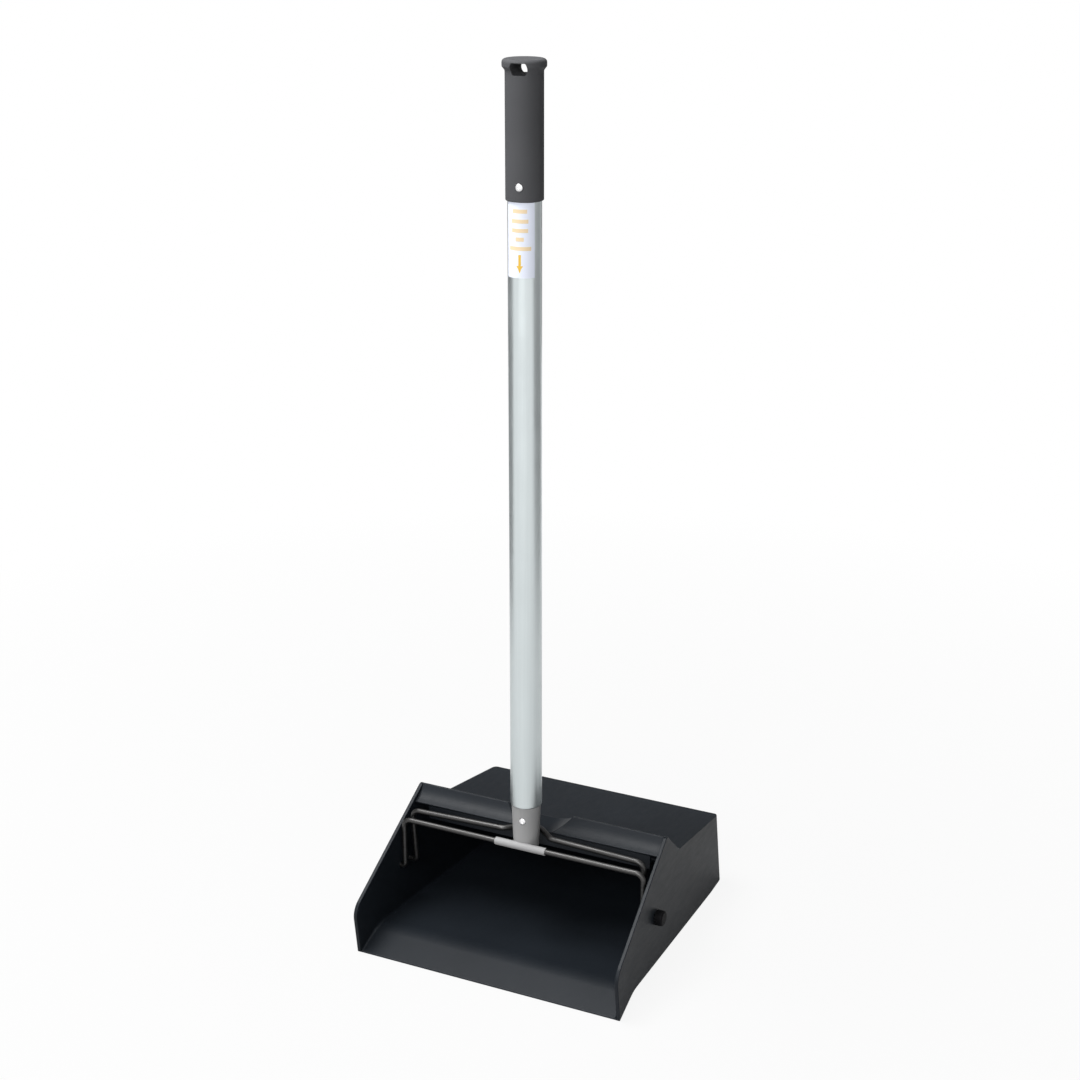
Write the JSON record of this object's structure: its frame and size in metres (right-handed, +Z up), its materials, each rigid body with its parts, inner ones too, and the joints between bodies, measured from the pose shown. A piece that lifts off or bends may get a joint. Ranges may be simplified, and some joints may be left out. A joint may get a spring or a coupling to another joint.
{
  "type": "lobby dustpan",
  "caption": "Upright lobby dustpan: a hooded moulded pan hung in a wire bail below a long metal tube with a flared grip and hang hole; the handle swings forward past a wire keeper.",
  "frame": {"origin": "on the floor under the middle of the pan's length and width", "axes": "+Z up along the handle, -Y out of the pan's mouth, +X to the right seen from in front of the mouth"},
  "size_m": [0.2676, 0.2764, 0.791],
  "materials": {
    "pan_plastic": "satin moulded, dark blue-grey",
    "wire_steel": "drawn, zinc plated",
    "cap_plastic": "matt black",
    "ferrule_grey": "satin grey",
    "rivet_aluminium": "bright",
    "tube_aluminium": "satin drawn",
    "grip_plastic": "satin dark grey",
    "label_film": "pale printed film"
  },
  "bodies": {
    "pan": {"pan": "pan_plastic"},
    "handle": {"bail_wire": "wire_steel", "ferrule": "ferrule_grey", "ferrule_rivet": "rivet_aluminium", "handle_tube": "tube_aluminium", "grip": "grip_plastic", "grip_rivet": "rivet_aluminium", "label": "label_film"},
    "lock": {"lock_wire": "wire_steel", "lock_cap_left": "cap_plastic", "lock_cap_right": "cap_plastic"}
  },
  "joints": [
    {"name": "handle_swing", "type": "hinge", "parent": "pan", "child": "handle", "pos_m": [0, -0.06098, 0.055], "axis": [1, 0, 0], "range_deg": [0, 90]},
    {"name": "lock_swing", "type": "hinge", "parent": "pan", "child": "lock", "pos_m": [0, -0.04598, 0.055], "axis": [-1, 0, 0], "range_deg": [0, 5]}
  ]
}
